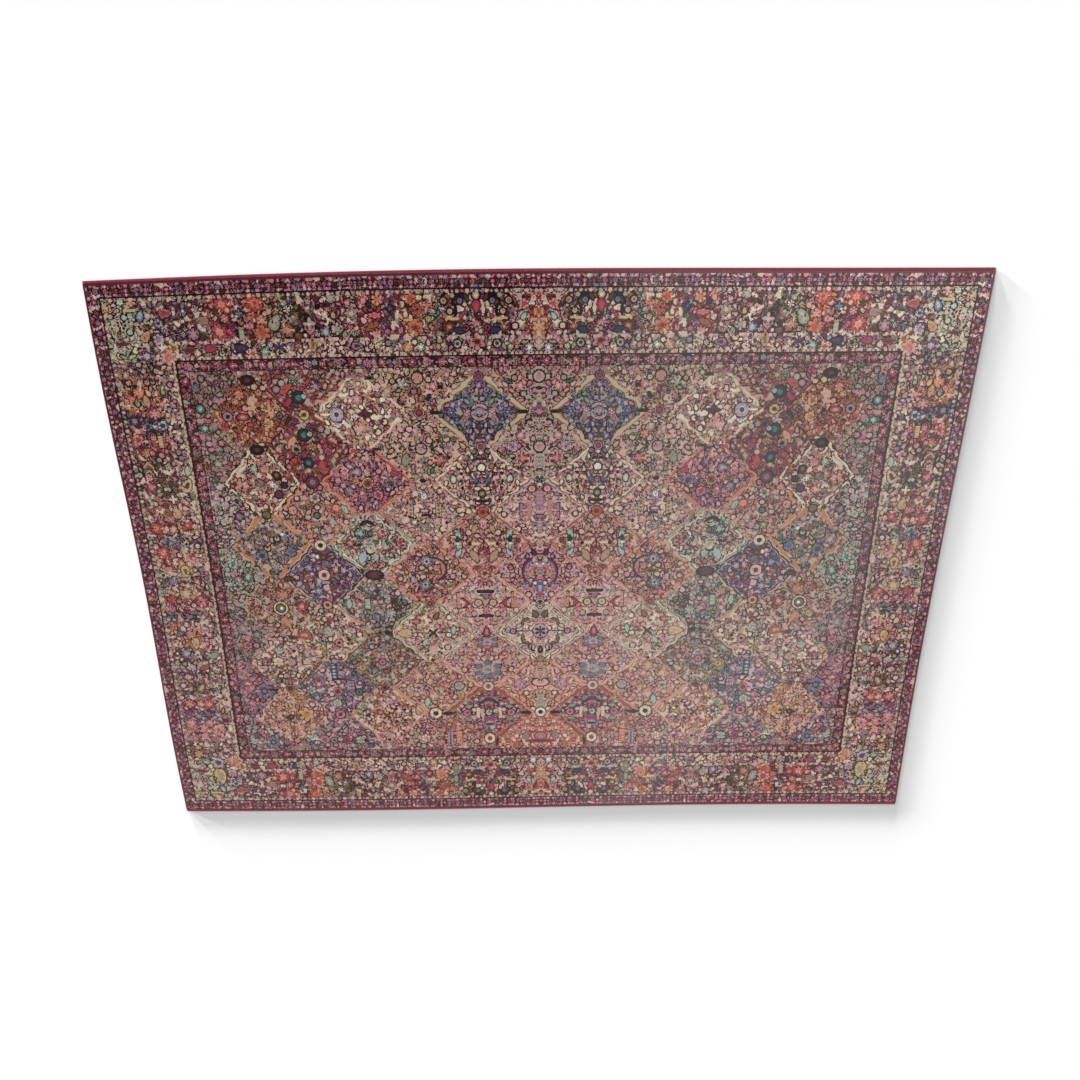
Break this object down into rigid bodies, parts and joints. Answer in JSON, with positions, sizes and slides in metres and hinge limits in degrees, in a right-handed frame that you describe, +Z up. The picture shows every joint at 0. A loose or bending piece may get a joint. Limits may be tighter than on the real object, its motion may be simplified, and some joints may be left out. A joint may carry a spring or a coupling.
{
  "type": "machine-woven wool rug",
  "caption": "Flat rectangular woven wool rug with a cut pile, a bordered lozenge-panel pattern and yarn serging along its long sides; lies flat on a floor.",
  "frame": {"origin": "centre of the rug's plan, at the underside that rests on the floor", "axes": "+X along the rug's length, +Y across its width towards the side nearest the viewer, +Z up through the pile"},
  "size_m": [3.6784, 2.666, 0.009],
  "materials": {
    "wool_pile": "cut wool pile in many muted colours, matt with a soft sheen",
    "serging_yarn": "overcast crimson wool yarn, matt"
  },
  "bodies": {
    "root": {"rug_body": "wool_pile", "serging_far": "serging_yarn", "serging_near": "serging_yarn"}
  },
  "joints": []
}
